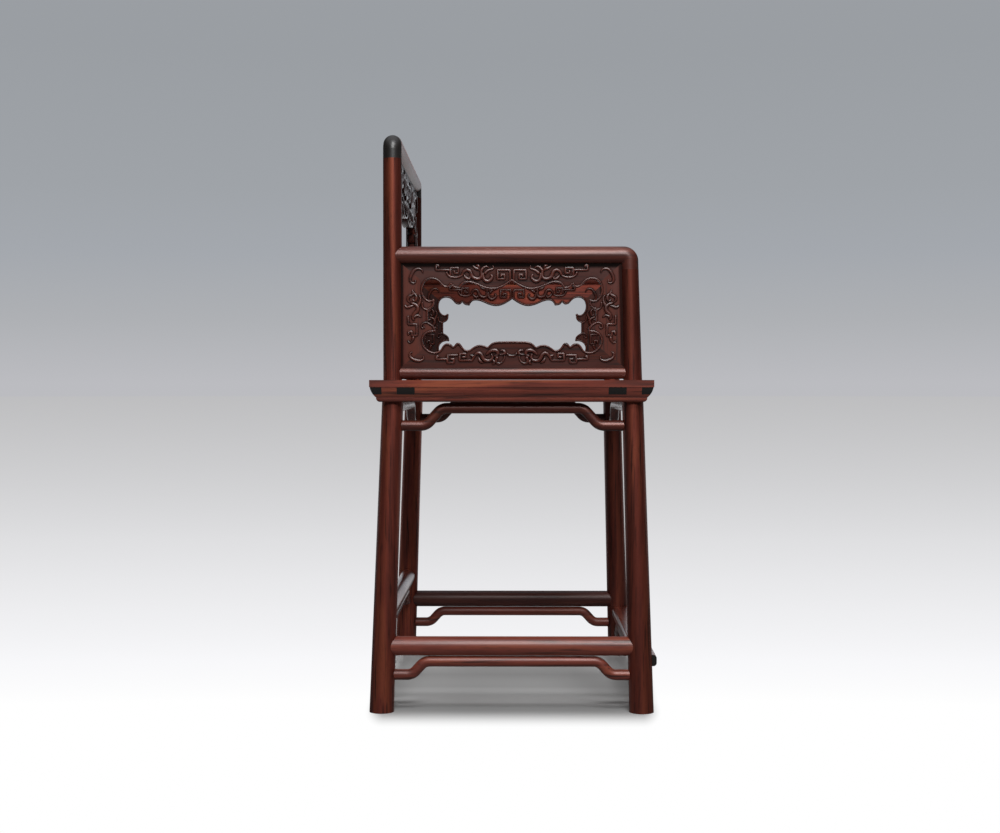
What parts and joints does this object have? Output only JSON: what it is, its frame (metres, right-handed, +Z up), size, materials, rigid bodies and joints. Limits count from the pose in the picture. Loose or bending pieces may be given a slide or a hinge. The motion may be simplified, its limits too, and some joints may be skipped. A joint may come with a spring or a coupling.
{
  "type": "rose chair",
  "caption": "Low-backed wooden armchair of round members, with carved boards round a lobed window in the back and under each arm, hump-backed rods and a footrest.",
  "frame": {"origin": "on the floor, under the middle of the box that the whole chair takes", "axes": "+Z up, +X across the chair, -Y towards its front; left is the -X side, as seen from in front of the chair"},
  "size_m": [0.58, 0.429, 0.861],
  "materials": {
    "rosewood_rod": "dark red-brown rosewood, oiled and waxed to a satin gloss",
    "rosewood_carved_panel": "dark rosewood carved in low relief, waxed",
    "rosewood_seat_frame": "red-brown rosewood with a moulded edge, waxed",
    "rosewood_seat_panel": "red-brown rosewood board, waxed"
  },
  "bodies": {
    "root": {"arm_lower_rail_left": "rosewood_rod", "arm_lower_rail_right": "rosewood_rod", "arm_panel_bottom_left": "rosewood_carved_panel", "arm_panel_bottom_right": "rosewood_carved_panel", "arm_panel_front_left": "rosewood_carved_panel", "arm_panel_front_right": "rosewood_carved_panel", "arm_panel_rear_left": "rosewood_carved_panel", "arm_panel_rear_right": "rosewood_carved_panel", "arm_panel_top_left": "rosewood_carved_panel", "arm_panel_top_right": "rosewood_carved_panel", "arm_rail_left": "rosewood_rod", "arm_rail_right": "rosewood_rod", "back_lower_rail": "rosewood_rod", "back_panel_bottom": "rosewood_carved_panel", "back_panel_left": "rosewood_carved_panel", "back_panel_right": "rosewood_carved_panel", "back_panel_top": "rosewood_carved_panel", "back_stretcher": "rosewood_rod", "crest_rail": "rosewood_rod", "footrest": "rosewood_rod", "front_leg_left": "rosewood_rod", "front_leg_right": "rosewood_rod", "lower_hump_rod_back": "rosewood_rod", "lower_hump_rod_front": "rosewood_rod", "lower_hump_rod_left": "rosewood_rod", "lower_hump_rod_right": "rosewood_rod", "rear_leg_left": "rosewood_rod", "rear_leg_right": "rosewood_rod", "seat_batten_left": "rosewood_seat_panel", "seat_batten_right": "rosewood_seat_panel", "seat_hump_rod_back": "rosewood_rod", "seat_hump_rod_front": "rosewood_rod", "seat_hump_rod_left": "rosewood_rod", "seat_hump_rod_right": "rosewood_rod", "seat_panel": "rosewood_seat_panel", "seat_rail_back": "rosewood_seat_frame", "seat_rail_front": "rosewood_seat_frame", "seat_rail_left": "rosewood_seat_frame", "seat_rail_right": "rosewood_seat_frame", "side_stretcher_left": "rosewood_rod", "side_stretcher_right": "rosewood_rod"}
  },
  "joints": []
}
